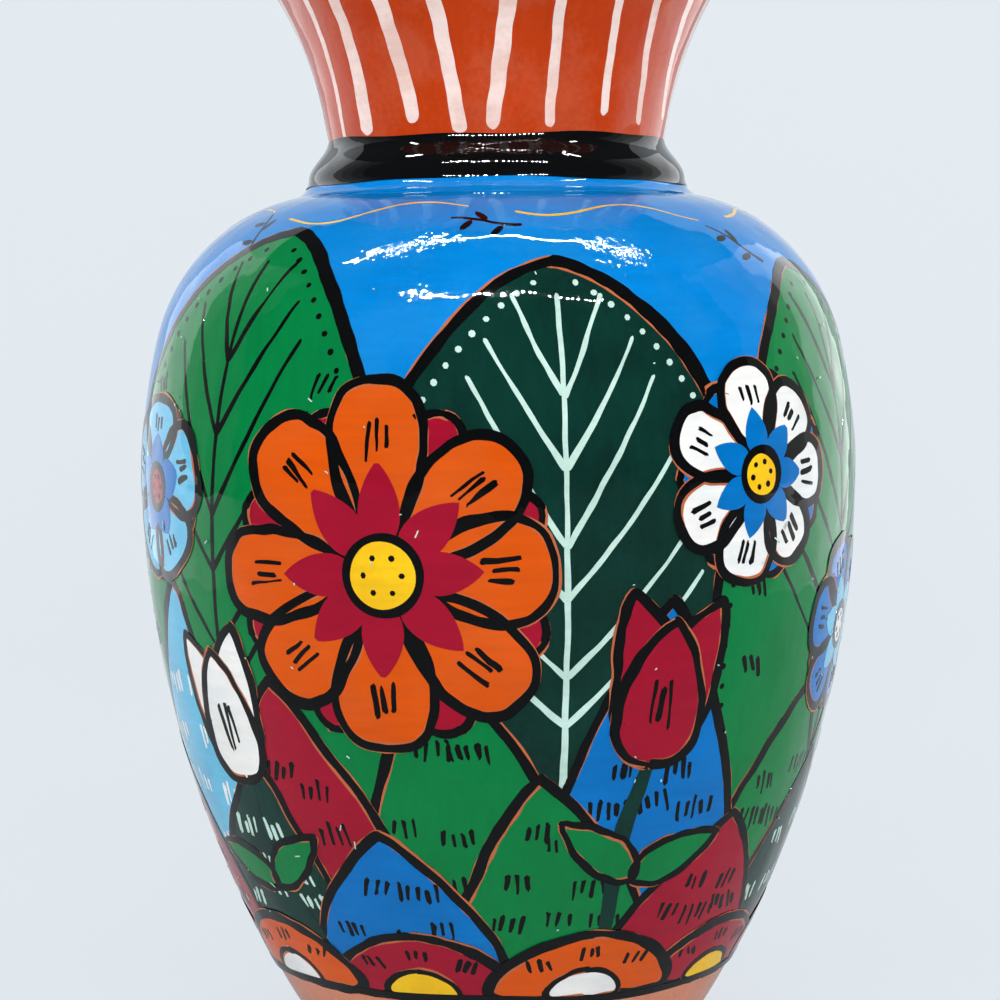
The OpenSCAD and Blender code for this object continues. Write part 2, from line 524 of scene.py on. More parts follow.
class Spot:
    """Where a motif sits: degrees round from the front, height up the outline, and turn in degrees."""

    def __init__(self, surface, around, rise, turn=0.0):
        self.surface = surface
        self.around = around
        self.rise = rise
        self.turn = turn

    def turned(self, degrees, up=0.0):
        """This spot turned further, and moved up the outline."""
        return Spot(self.surface, self.around, self.rise + up, self.turn + degrees)

    def place(self, points):
        """Canvas points of a motif's points, true to size at each height."""
        points = np.asarray(points, dtype=float)
        x, y = spun(points[:, 0], points[:, 1], math.radians(self.turn))
        v = np.clip(self.rise + y, 0, self.surface.outline.length)
        angle = math.radians(self.around) + x / self.surface.radius(v)
        return np.column_stack((angle * self.surface.girth, v))


# Sways of a painter's hand along a stroke, each with its share: slow ones by their number of turns, and
# quick ones by the points in a turn
SLOW_SWAYS = ((1, 1), (2, 0.5), (3, 0.33), (5, 0.25))
QUICK_SWAYS = ((9, 0.4), (4.5, 0.2))

# How far a stroke sways: a share of its width, up to a limit in millimetres
SWAY_SHARE = 0.1
MOST_SWAY = 0.12

# Gaps in millimetres between the points of strokes, shapes and dabs, and the grid inside a dab
STROKE_GAP = 1.2
SHAPE_GAP = 1.4
DAB_GAP = 0.7
DAB_GRID = 1.5

# Shares of a stroke's width: how far it shakes, and its limits
SHAKE = 0.16
STROKE_LIMITS = (0.55, 1.4)
HOOP_LIMITS = (0.6, 1.4)

# Round ends of a stroke: points along an end, and the least square of its share of the width
END_POINTS = 6
BLUNT_END = 0.002

# Layers that a leaf takes up: its fill, the bare clay beside the outline, and the outline
LEAF_LAYERS = 3

# Veins of a leaf: the midrib's stretch of its points, the side veins' first share of its length, their
# spread and rise along it, their reach across it, their sag in millimetres, their taper and their points
MIDRIB = slice(8, 34)
VEIN_START = 0.36
VEIN_SPREAD = 0.4
VEIN_RISE = 0.16
VEIN_REACH = 0.64
VEIN_SAG = 2.5
VEIN_TAPER = 0.4
VEIN_POINTS = 16


class Brushwork:
    """Paint laid motif by motif on one surface and gathered into one film for each piece."""

    def __init__(self, surface, seed):
        self.surface = surface
        self.hand = random.Random(seed)
        self.films = {}

    def film(self, piece, paint):
        """The film for a piece, started when first asked for."""
        return self.films.setdefault((piece, paint), Film(self.surface))

    def lift(self, layer):
        """Height of a layer over the clay."""
        return mm(sizes().coat_lift) + layer * mm(sizes().layer_step)

    def unsteady(self, count, amount):
        """A slow random wander with as many values as asked for."""
        steps = np.linspace(0, math.tau, count)
        wander = np.zeros(count)
        quick = tuple((count / points, share) for points, share in QUICK_SWAYS)
        for turns, share in SLOW_SWAYS + quick:
            size = self.hand.gauss(0, 1) * share
            phase = self.hand.uniform(0, math.tau)
            wander += size * np.cos(turns * steps + phase)
        return wander * amount

    def wavering(self, edge, amount):
        """An edge drawn by an unsteady hand, its two ends kept."""
        sway = np.sin(np.linspace(0, math.pi, len(edge))) ** 0.5
        return edge + np.column_stack([self.unsteady(len(edge), amount) * sway for _ in (0, 1)])

    def shape(self, piece, paint, layer, loop):
        """A filled shape."""
        loop = evenly(loop, SHAPE_GAP, closed=True)
        self.film(piece, paint).fill(loop, self.lift(layer), mm(sizes().grid))

    def stroke(self, piece, paint, layer, path, width, taper=0.0, shake=SHAKE):
        """An open stroke with round ends, shaken in width and thinned towards its far end by the taper."""
        path = np.asarray(path, dtype=float)
        runs = distances(path)
        length = runs[-1]
        cap = min(width, length) / 2
        ends = cap * (1 - np.cos(np.linspace(0, math.pi / 2, END_POINTS)))
        between = max(2, math.ceil((length - 2 * cap) / STROKE_GAP))
        middle = np.linspace(cap, length - cap, between)[1:-1]
        stops = np.concatenate((ends, middle, length - ends[::-1]))
        path = points_along(path, runs, stops)
        count = len(stops)
        shaken = np.clip(1 + self.unsteady(count, shake), *STROKE_LIMITS)
        widths = width * shaken * (1 - taper * stops / length)
        from_end = np.minimum(np.minimum(stops, length - stops) / cap, 1)
        widths *= np.sqrt(np.clip(1 - (1 - from_end) ** 2, BLUNT_END, 1))
        sway = min(MOST_SWAY, width * SWAY_SHARE)
        path = path + np.column_stack((self.unsteady(count, sway), self.unsteady(count, sway)))
        self.film(piece, paint).line(path, widths, self.lift(layer))

    def hoop(self, piece, paint, layer, loop, width):
        """A closed stroke of uneven width."""
        loop = evenly(loop, STROKE_GAP, closed=True)
        widths = width * np.clip(1 + self.unsteady(len(loop), SHAKE), *HOOP_LIMITS)
        self.film(piece, paint).line(loop, widths, self.lift(layer), closed=True)

    def band(self, piece, paint, layer, loop, width):
        """A line right round the vase, its ends joined."""
        self.film(piece, paint).line(loop, np.full(len(loop), width), self.lift(layer), closed=True)

    def dot(self, piece, paint, layer, spot, x, y, size):
        """A dab of the brush."""
        wide, high = (size * self.hand.uniform(0.85, 1.1) for _ in (0, 1))
        loop = evenly(spot.place(oval(wide, high) + (x, y)), DAB_GAP, closed=True)
        self.film(piece, paint).fill(loop, self.lift(layer), DAB_GRID)

    def hatch(self, paint, layer, spot, x, y, count, length, lean):
        """Short parallel strokes about a point of the motif, leaning by an angle in degrees."""
        width = mm(sizes().hatch_width)
        gap = width * self.hand.uniform(1.7, 2.1)
        for n in range(count):
            across = x + (n - (count - 1) / 2) * gap + self.hand.uniform(-0.35, 0.35)
            tilt = math.radians(lean + self.hand.uniform(-8, 8))
            reach = length * self.hand.uniform(0.6, 1.12) / 2
            middle = y + self.hand.uniform(-0.12, 0.12) * length
            aside, up = reach * math.sin(tilt), reach * math.cos(tilt)
            path = spot.place([(across + aside, middle + up), (across - aside, middle - up)])
            size = width * self.hand.uniform(0.75, 1.25)
            taper = self.hand.uniform(0, 0.5)
            self.stroke("hatch_" + paint, paint, layer, path, size, taper)

    def hatching(self, paint, layer, spot, edges, low, high, gap, length):
        """Groups of hatching strewn in rows over a blade between two shares of its length."""
        margin = 3.5
        group_gap = gap * 1.25
        tall = edges[0][-1][1]
        rows = max(1, round((high - low) * tall / gap))
        for row in range(rows):
            y = tall * (low + (high - low) * (row + self.hand.uniform(0.3, 0.7)) / rows)
            left, right = (np.interp(y, edge[:, 1], edge[:, 0]) for edge in edges)
            room = right - left - 2 * margin
            groups = math.ceil(room / group_gap) if room > 0 else 0
            for n in range(groups):
                x = (left + right) / 2 + room * ((n + self.hand.uniform(0.3, 0.7)) / groups - 0.5)
                rise = self.hand.uniform(-0.2, 0.2) * gap
                count = self.hand.randint(3, 5)
                lean = self.hand.uniform(-14, 14)
                self.hatch(paint, layer, spot, x, y + rise, count, length, lean)

    def edging(self, layer, path, width, closed=False):
        """A black outline over a thread of bare clay that it doesn't always hide."""
        draw = self.hoop if closed else self.stroke
        slack = 0.36
        slip = np.array([self.hand.uniform(-slack, slack) for _ in (0, 1)])
        draw("slivers", "clay", layer, path + slip, width)
        draw("outlines", "black", layer + 1, path, width * 1.06)

    def across(self, edges, share, side):
        """A point of a blade at a share of its length, from its left edge at -1 to its right at 1."""
        n = int(share * (len(edges[0]) - 1))
        left, right = edges[0][n], edges[1][n]
        return (left + right) / 2 + (right - left) / 2 * side

    def leaf(self, paint, layer, spot, edges, width):
        """A filled blade with an outline up each edge, crossing a little at the tip."""
        most_waver = 0.6
        edges = [self.wavering(edge, min(most_waver, edge[-1][1] * 0.007)) for edge in edges]
        self.shape(paint, paint, layer, spot.place(around_blade(edges)))
        for edge in edges:
            past = edge[-1] - edge[-4]
            edge = np.vstack((edge, edge[-1] + past / np.hypot(*past) * width * 0.4))
            self.edging(layer + 1, spot.place(edge), width * self.hand.uniform(0.85, 1.1))

    def veins(self, paint, layer, spot, edges, pairs, width):
        """A midrib and pairs of curved side veins."""
        piece = "veins_" + paint
        midrib = ((edges[0] + edges[1]) / 2)[MIDRIB]
        self.stroke(piece, paint, layer, spot.place(midrib), width * 1.2, VEIN_TAPER)
        t = np.linspace(0, 1, VEIN_POINTS)[:, None]
        for n in range(pairs):
            share = VEIN_START + VEIN_SPREAD * n / pairs
            for side in (-1, 1):
                root = self.across(edges, share, 0)
                tip = self.across(edges, share + VEIN_RISE, VEIN_REACH * side)
                bow = (root + tip) / 2 - (0, VEIN_SAG)
                path = (1 - t) ** 2 * root + 2 * t * (1 - t) * bow + t**2 * tip
                self.stroke(piece, paint, layer, spot.place(path), width, VEIN_TAPER)

    def rosette(self, paint, flame, centre, layer, spot, petals, radius, heart):
        """A flower of petals, each with a flame of a second paint, round a centre with a ring of dots."""
        start = heart * 0.35
        reach = radius - start
        width = 2 * (start + 0.62 * reach) * math.tan(math.pi / petals) * 1.02
        step = 360 / petals
        for n in range(petals):
            edges = blade(reach * 0.92, width * 0.7, root_power=0.75, tip_power=0.5)
            edges = [edge + (0, start) for edge in edges]
            self.leaf(flame, layer, spot.turned(step * (n + 0.5)), edges, width=1.6)
        layer += LEAF_LAYERS
        for n in range(petals):
            turned = spot.turned(step * n + self.hand.uniform(-4, 4))
            length = reach * self.hand.uniform(0.88, 1.06)
            edges = blade(length, width * self.hand.uniform(0.88, 1.02), root_power=0.75, tip_power=0.4)
            edges = [self.wavering(edge + (0, start), radius * 0.009) for edge in edges]
            loop = turned.place(around_blade(edges))
            self.shape(paint, paint, layer, loop)
            self.edging(layer + 1, loop, 1.9, closed=True)
            inner = blade(length * 0.52, width * 0.42, root_power=0.6, tip_power=0.9)
            self.shape(flame, flame, layer + 4, turned.place(around_blade(inner) + (0, start)))
            middle = start + length * 0.66
            self.hatch("black", layer + 5, turned, 0, middle, count=3, length=radius * 0.2, lean=0)
        disc = spot.place(oval(heart, heart))
        self.shape(centre, centre, layer + 6, disc)
        self.hoop("outlines", "black", layer + 7, disc, width=1.7)
        for x, y in oval(heart * 0.52, heart * 0.52, points=6):
            self.dot("dots", "black", layer + 7, spot, x, y, size=1.3)

    def tulip(self, paint, layer, spot, height, width):
        """A cup of three petals on a green stem with two leaves."""
        outline = 1.9
        stem = [(1.6 * math.sin(y / 9), y) for y in np.linspace(2, -1.4 * height, 24)]
        self.stroke("stems", "dark_green", layer - 1, spot.place(stem), width=3.0)
        for side in (-1, 1):
            root = spot.turned(-50 * side, up=-0.75 * height)
            edges = blade(height * 0.62, width * 0.3, root_power=0.6, tip_power=0.9, bend=side * 3)
            self.leaf("green", layer, root, edges, width=1.5)
            edges = blade(height, width * 0.62, root_power=0.45, tip_power=0.8, bend=side * width * 0.34)
            self.leaf(paint, layer, spot, edges, outline)
        edges = blade(height * 0.86, width * 0.62, root_power=0.4, tip_power=0.75)
        self.leaf(paint, layer + LEAF_LAYERS, spot, edges, outline)
        layer += 2 * LEAF_LAYERS
        self.hatch("black", layer, spot, 0, height * 0.36, count=3, length=height * 0.3, lean=0)

    def build(self, group):
        """Makes the pieces, each named for its group and paint."""
        for (piece, paint), film in self.films.items():
            film.build(f"{group}_{piece}", paint_material(paint), SLOTS[paint])


# A material slot name for each paint
SLOTS = {
    "clay": "terracotta",
    "foot_clay": "terracotta",
    "sky": "sky_paint",
    "dark_green": "dark_green_paint",
    "green": "green_paint",
    "orange": "orange_paint",
    "crimson": "crimson_paint",
    "blue": "blue_paint",
    "light_blue": "light_blue_paint",
    "white": "white_paint",
    "mint": "white_paint",
    "stripe": "white_paint",
    "yellow": "yellow_paint",
    "black": "black_paint",
    "neck": "orange_paint",
}


# Materials


def node_group(name, inputs, outputs):
    """A new shader node group with these sockets, and its input and output nodes."""
    group = bpy.data.node_groups.new(name, "ShaderNodeTree")
    for label, kind, value in inputs:
        socket = group.interface.new_socket(label, in_out="INPUT", socket_type=kind)
        socket.default_value = value
    for label, kind in outputs:
        group.interface.new_socket(label, in_out="OUTPUT", socket_type=kind)
    return group, group.nodes.new("NodeGroupInput"), group.nodes.new("NodeGroupOutput")


def noise(group, vector, scale, detail):
    """A noise texture's value over a vector."""
    node = group.nodes.new("ShaderNodeTexNoise")
    node.inputs["Scale"].default_value = scale
    node.inputs["Detail"].default_value = detail
    group.links.new(vector, node.inputs["Vector"])
    return node.outputs["Fac"]


def math_node(group, operation, first, second):
    """A math node over two sockets or numbers."""
    node = group.nodes.new("ShaderNodeMath")
    node.operation = operation
    for socket, value in zip(node.inputs, (first, second)):
        if isinstance(value, (int, float)):
            socket.default_value = value
        else:
            group.links.new(value, socket)
    return node.outputs[0]


def scaled(group, value, share):
    """A value times a share."""
    return math_node(group, "MULTIPLY", value, share)


def summed(group, first, second):
    """Two values added."""
    return math_node(group, "ADD", first, second)


def ranged(group, value, low, high, least=0.0, most=1.0):
    """A value between two bounds, spread from least to most."""
    node = group.nodes.new("ShaderNodeMapRange")
    node.inputs["From Min"].default_value = low
    node.inputs["From Max"].default_value = high
    node.inputs["To Min"].default_value = least
    node.inputs["To Max"].default_value = most
    group.links.new(value, node.inputs["Value"])
    return node.outputs["Result"]


def vector_node(group, operation, first):
    """A vector math node over a socket, its second vector still to be set."""
    node = group.nodes.new("ShaderNodeVectorMath")
    node.operation = operation
    group.links.new(first, node.inputs[0])
    return node


def shaded(group, colour, value):
    """A colour made lighter or darker by a value."""
    node = group.nodes.new("ShaderNodeHueSaturation")
    group.links.new(colour, node.inputs["Color"])
    group.links.new(value, node.inputs["Value"])
    return node.outputs["Color"]


# Places in metres where the varnish dried rough, and how far round them it did
ROUGH_SPOTS = (
    ((-0.0155, -0.0605, 0.1685), 0.017),
    ((0.0235, -0.0585, 0.1675), 0.018),
    ((0.05, 0.03, 0.17), 0.016),
    ((-0.0092, -0.0385, 0.193), 0.008),
    ((0.0113, -0.0385, 0.194), 0.008),
)
ROUGH_FRINGE = 0.008


def varnish_height(group, place):
    """Height of the varnish: long waves, faint ripples, and crumbs where it dried rough."""
    waves = noise(group, place, scale=90.0, detail=1.0)
    ripples = scaled(group, noise(group, place, scale=380.0, detail=1.0), 0.05)
    crumbs = noise(group, place, scale=620.0, detail=2.0)
    fringe = scaled(group, noise(group, place, scale=300.0, detail=2.0), ROUGH_FRINGE)
    rough = 0.0
    for spot, size in ROUGH_SPOTS:
        away = vector_node(group, "DISTANCE", place)
        away.inputs[1].default_value = spot
        near = ranged(group, summed(group, away.outputs["Value"], fringe), size, size * 0.5)
        rough = math_node(group, "MAXIMUM", near, rough)
    crumbled = scaled(group, scaled(group, crumbs, rough), 0.5)
    return summed(group, summed(group, waves, ripples), crumbled)


def brushed_paint_group():
    """Brush streaks, thick and thin patches, fine pits and the varnish of a hand-brushed coat."""
    name = "Brushed paint"
    if name in bpy.data.node_groups:
        return bpy.data.node_groups[name]
    inputs = (
        ("Colour", "NodeSocketColor", (0.8, 0.8, 0.8, 1)),
        ("Thin colour", "NodeSocketColor", (0.8, 0.8, 0.8, 1)),
        ("Thinness", "NodeSocketFloat", 0.5),
        ("Streak scale", "NodeSocketVector", (60, 60, 700)),
        ("Variation", "NodeSocketFloat", 0.2),
    )
    outputs = (
        ("Colour", "NodeSocketColor"),
        ("Height", "NodeSocketFloat"),
        ("Roughness", "NodeSocketFloat"),
        ("Varnish", "NodeSocketFloat"),
    )
    group, given, result = node_group(name, inputs, outputs)
    place = group.nodes.new("ShaderNodeTexCoord").outputs["Object"]
    stretch = vector_node(group, "MULTIPLY", place)
    group.links.new(given.outputs["Streak scale"], stretch.inputs[1])
    streaks = noise(group, stretch.outputs[0], scale=1.0, detail=3.0)
    patches = noise(group, place, scale=55.0, detail=2.0)
    pits = noise(group, place, scale=900.0, detail=2.0)
    thinning = noise(group, place, scale=75.0, detail=3.0)
    ragged = summed(group, thinning, scaled(group, math_node(group, "SUBTRACT", pits, 0.5), 0.35))
    worn = ranged(group, ragged, 0.42, 0.66)
    thin = group.nodes.new("ShaderNodeMix")
    thin.data_type = "RGBA"
    group.links.new(scaled(group, worn, given.outputs["Thinness"]), thin.inputs["Factor"])
    group.links.new(given.outputs["Colour"], thin.inputs["A"])
    group.links.new(given.outputs["Thin colour"], thin.inputs["B"])
    mixed = summed(group, scaled(group, streaks, 0.55), scaled(group, patches, 0.45))
    change = scaled(group, math_node(group, "SUBTRACT", mixed, 0.5), given.outputs["Variation"])
    colour = shaded(group, thin.outputs["Result"], summed(group, change, 1.0))
    group.links.new(colour, result.inputs["Colour"])
    group.links.new(summed(group, streaks, scaled(group, pits, 0.3)), result.inputs["Height"])
    group.links.new(summed(group, scaled(group, patches, 0.2), 0.28), result.inputs["Roughness"])
    group.links.new(varnish_height(group, place), result.inputs["Varnish"])
    return group


def fired_clay_group():
    """Grain, throwing rings and cloudy colour of low-fired clay."""
    name = "Fired clay"
    if name in bpy.data.node_groups:
        return bpy.data.node_groups[name]
    inputs = (
        ("Colour", "NodeSocketColor", (0.5, 0.2, 0.1, 1)),
        ("Rings", "NodeSocketFloat", 0.5),
    )
    outputs = (
        ("Colour", "NodeSocketColor"),
        ("Height", "NodeSocketFloat"),
        ("Roughness", "NodeSocketFloat"),
    )
    group, given, result = node_group(name, inputs, outputs)
    place = group.nodes.new("ShaderNodeTexCoord").outputs["Object"]
    clouds = noise(group, place, scale=38.0, detail=4.0)
    grain = noise(group, place, scale=1100.0, detail=3.0)
    stretch = vector_node(group, "MULTIPLY", place)
    stretch.inputs[1].default_value = RING_SCALE
    rings = noise(group, stretch.outputs[0], scale=1.0, detail=2.0)
    ring_height = scaled(group, rings, given.outputs["Rings"])
    tone = summed(group, scaled(group, clouds, 0.5), scaled(group, grain, 0.35))
    tone = summed(group, tone, scaled(group, ring_height, 0.3))
    colour = shaded(group, given.outputs["Colour"], summed(group, tone, 0.52))
    group.links.new(colour, result.inputs["Colour"])
    group.links.new(summed(group, ring_height, scaled(group, grain, 0.25)), result.inputs["Height"])
    group.links.new(summed(group, scaled(group, grain, 0.2), 0.68), result.inputs["Roughness"])
    return group


def bump_node(tree, height, depth):
    """A bump over a height, its depth in metres."""
    node = tree.nodes.new("ShaderNodeBump")
    node.inputs["Strength"].default_value = 1.0
    node.inputs["Distance"].default_value = depth
    tree.links.new(height, node.inputs["Height"])
    return node


def surfaced_material(name, group, colour, settings, depth):
    """A material whose colour, roughness and bump come from a node group with these settings."""
    material = bpy.data.materials.new(name)
    material.use_nodes = True
    tree = material.node_tree
    shader = tree.nodes["Principled BSDF"]
    effect = tree.nodes.new("ShaderNodeGroup")
    effect.node_tree = group
    effect.inputs["Colour"].default_value = (*colour, 1)
    for label, value in settings.items():
        effect.inputs[label].default_value = value
    bump = bump_node(tree, effect.outputs["Height"], depth)
    tree.links.new(effect.outputs["Colour"], shader.inputs["Base Color"])
    tree.links.new(effect.outputs["Roughness"], shader.inputs["Roughness"])
    tree.links.new(bump.outputs["Normal"], shader.inputs["Normal"])
    return material, shader, effect, bump


# Depths in metres of brush marks, of the varnish's unevenness and of the marks in thrown clay
BRUSH_MARKS = 0.00006
VARNISH_RIPPLE = 0.0004
THROWN_MARKS = 0.0003

# Streaks of a brush and rings of throwing, by their number in a metre each way
UPRIGHT_STREAKS = (520, 520, 60)
LEVEL_STREAKS = (70, 70, 620)
RING_SCALE = (12, 12, 260)

# What shows where a paint is thin, and how much of it
UNDERCOATS = {
    "neck": ("foot_clay", 0.16),
    "stripe": ("foot_clay", 0.3),
    "orange": ("clay", 0.12),
    "white": ("light_blue", 0.1),
    "light_blue": ("blue", 0.15),
    "black": ("black", 0.0),
    "mint": ("green", 0.12),
    "sky": ("light_blue", 0.05),
    "yellow": ("orange", 0.15),
    "dark_green": ("black", 0.3),
}
PLAIN_UNDERCOAT = ("black", 0.08)
UPRIGHT_PAINTS = ("neck", "green", "dark_green")
DARK_PAINTS = ("dark_green", "black")


def paint_material(paint):
    """Brushed paint of one colour under gloss varnish."""
    name = f"brushed_{paint}"
    if name in bpy.data.materials:
        return bpy.data.materials[name]
    colour = getattr(colours(), paint)
    under, thinness = UNDERCOATS.get(paint, PLAIN_UNDERCOAT)
    settings = {
        "Thin colour": (*getattr(colours(), under), 1),
        "Thinness": thinness,
        "Streak scale": UPRIGHT_STREAKS if paint in UPRIGHT_PAINTS else LEVEL_STREAKS,
        "Variation": 0.9 if paint in DARK_PAINTS else 0.45,
    }
    group = brushed_paint_group()
    material, shader, effect, marks = surfaced_material(name, group, colour, settings, BRUSH_MARKS)
    shader.inputs["Specular IOR Level"].default_value = 0.0
    shader.inputs["Coat Weight"].default_value = 1.0
    shader.inputs["Coat Roughness"].default_value = 0.02
    shader.inputs["Coat IOR"].default_value = 1.42
    tree = material.node_tree
    ripple = bump_node(tree, effect.outputs["Varnish"], VARNISH_RIPPLE)
    tree.links.new(ripple.outputs["Normal"], marks.inputs["Normal"])
    tree.links.new(ripple.outputs["Normal"], shader.inputs["Coat Normal"])
    return material


def clay_material(name, colour, rings, varnish):
    """Fired clay, bare or under varnish."""
    if name in bpy.data.materials:
        return bpy.data.materials[name]
    settings = {"Rings": rings}
    material, shader, *_ = surfaced_material(name, fired_clay_group(), colour, settings, THROWN_MARKS)
    shader.inputs["Coat Weight"].default_value = varnish
    shader.inputs["Coat Roughness"].default_value = 0.06
    return material


# Operators, one for each piece or group of like pieces

# Layer of the first coats over a ground, and the layers of the leaves, flowers, border and dust over them
FIRST_LAYER = 2
BROAD_LAYERS = (6, 3)
TALL_LAYER = 10
SHORT_LAYER = 17
FLOWER_LAYER = 24
BORDER_LAYERS = (40, 34)
LINE_LAYER = 47
DUST_LAYER = 48

# Hatching on the broad leaves by shares of their length, and the dots inside their edges: the first of a
# blade's points that has them, their gap, and their distances inward and down in millimetres
HATCH_SHARES = tuple(0.42 + 0.085 * row for row in range(4))
DOT_START = 14
DOT_GAP = 4.2
DOT_INSET = 3.4
DOT_DROP = 2

# The stripes at the front, each with its degrees round at the sighted height and at its lower end, the
# height of that end, and its widths at the lip and at that end in millimetres
STRIPE_SIGHT = 223.0
STRIPE_POINTS = 60
FRONT_STRIPES = (
    (-60, -61, 196.5, 2.5, 1.4),
    (-47, -47, 197.0, 3.0, 3.8),
    (-32, -27, 198.6, 3.9, 3.2),
    (-16.5, -11.5, 196.5, 3.0, 3.2),
    (3.3, -1, 197.2, 4.0, 2.9),
    (17.7, 17.5, 197.6, 2.4, 2.1),
    (35, 37, 200.4, 2.6, 1.8),
    (49, 54, 199.0, 2.7, 1.9),
    (65, 72, 200.6, 3.0, 1.8),
)


class VASE_OT_clay(bpy.types.Operator):
    """Gives the thrown and coiled clay pieces and their slip their fired finish"""

    bl_idname = "vase.clay"
    bl_label = "Fired clay"

    def execute(self, context):
        clay = clay_material("bare_clay", colours().clay, rings=0.8, varnish=0.0)
        slip = clay_material("joint_slip", colours().slip, rings=0.2, varnish=0.0)
        for name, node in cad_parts.items():
            node.data.materials.clear()
            node.data.materials.append(slip if name.endswith("_slip") else clay)
        return {"FINISHED"}


class VASE_OT_foot_band(bpy.types.Operator):
    """Varnishes the bare clay band below the paint"""

    bl_idname = "vase.foot_band"
    bl_label = "Varnished foot band"

    def execute(self, context):
        start = 0.4
        under_paint = 1.5
        below_ground = 0.04
        end = mm(sizes().paint_low) + under_paint
        film = Film(body_surface())
        film.ring(wavy(start), wavy(end), mm(sizes().coat_lift) - below_ground, columns=200, rows=10)
        varnished = clay_material("varnished_clay", colours().foot_clay, rings=0.4, varnish=0.9)
        film.build("foot_band", varnished, SLOTS["foot_clay"], sunk=0.1)
        return {"FINISHED"}


class VASE_OT_sky(bpy.types.Operator):
    """Lays the sky-blue ground over the body"""

    bl_idname = "vase.sky"
    bl_label = "Sky-blue ground"

    def execute(self, context):
        short_of_end = 0.2
        surface = body_surface()
        end = surface.outline.length - short_of_end
        film = Film(surface)
        film.ring(lower_edge(), wavy(end), mm(sizes().coat_lift), columns=400, rows=150)
        film.build("sky_ground", paint_material("sky"), SLOTS["sky"], sunk=0.1)
        return {"FINISHED"}


class VASE_OT_collar(bpy.types.Operator):
    """Paints the collar and the root of the neck black"""

    bl_idname = "vase.collar"
    bl_label = "Black collar"

    def execute(self, context):
        over_sky = 0.05
        surface = collar_surface()
        coil_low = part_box("collar_coil")[0][2] / MM
        start = surface.outline.reach(coil_low + mm(sizes().black_start))
        end = surface.outline.reach(node_top("collar_coil") + mm(sizes().black_rise))
        low = wavy(start, (0.7, 1, 0), (0.2, 4, 0), (-0.15, 9, 2))
        high = wavy(end, (-0.35, 3, 0.6), (0.25, 8, 2.2))
        film = Film(surface)
        film.ring(low, high, mm(sizes().coat_lift) + over_sky, columns=300, rows=44)
        film.build("collar_black", paint_material("black"), SLOTS["black"], sunk=1.2)
        return {"FINISHED"}


class VASE_OT_neck(bpy.types.Operator):
    """Paints the neck orange, over the lip and a little way down inside"""

    bl_idname = "vase.neck"
    bl_label = "Orange neck"

    def execute(self, context):
        start = 0.2
        short_of_end = 5
        surface = neck_surface()
        high = wavy(surface.outline.length - short_of_end, (1.2, 2, 1), (-0.7, 5, 0))
        film = Film(surface)
        film.ring(wavy(start), high, mm(sizes().coat_lift), columns=200, rows=60)
        film.build("neck_orange", paint_material("neck"), SLOTS["neck"], sunk=0.1)
        return {"FINISHED"}


class VASE_OT_back_leaves(bpy.types.Operator):
    """Paints six broad leaves behind the flowers, each with a midrib, side veins and hatching"""

    bl_idname = "vase.back_leaves"
    bl_label = "Broad leaves"

    def execute(self, context):
        brush = Brushwork(body_surface(), sizes().seed + 10)
        leaves = 6
        for n in range(leaves):
            paint, line = (("green", "black"), ("dark_green", "mint"))[n % 2]
            layer = BROAD_LAYERS[n % 2]
            spot = Spot(brush.surface, 360 / leaves * n - 50, rise=46)
            length = 132 + 6 * math.cos(2.1 * n)
            bend = 9 * math.cos(1.7 * n)
            edges = blade(length, width=92, root_power=0.5, tip_power=0.7, bend=bend)
            brush.leaf(paint, layer, spot, edges, width=2.4)
            layer += LEAF_LAYERS - 1
            brush.veins(line, layer, spot, edges, pairs=6, width=1.25)
            for share in HATCH_SHARES:
                for side in (-1, 1):
                    x, y = brush.across(edges, share, 0.76 * side)
                    brush.hatch(line, layer, spot, x, y, count=3, length=4.6, lean=20 * side)
            for edge, inward in zip(edges, (DOT_INSET, -DOT_INSET)):
                for x, y in evenly(edge[DOT_START:], DOT_GAP)[:-2]:
                    brush.dot("dots_" + line, line, layer, spot, x + inward, y - DOT_DROP, size=1.4)
        brush.build("broad_leaves")
        return {"FINISHED"}


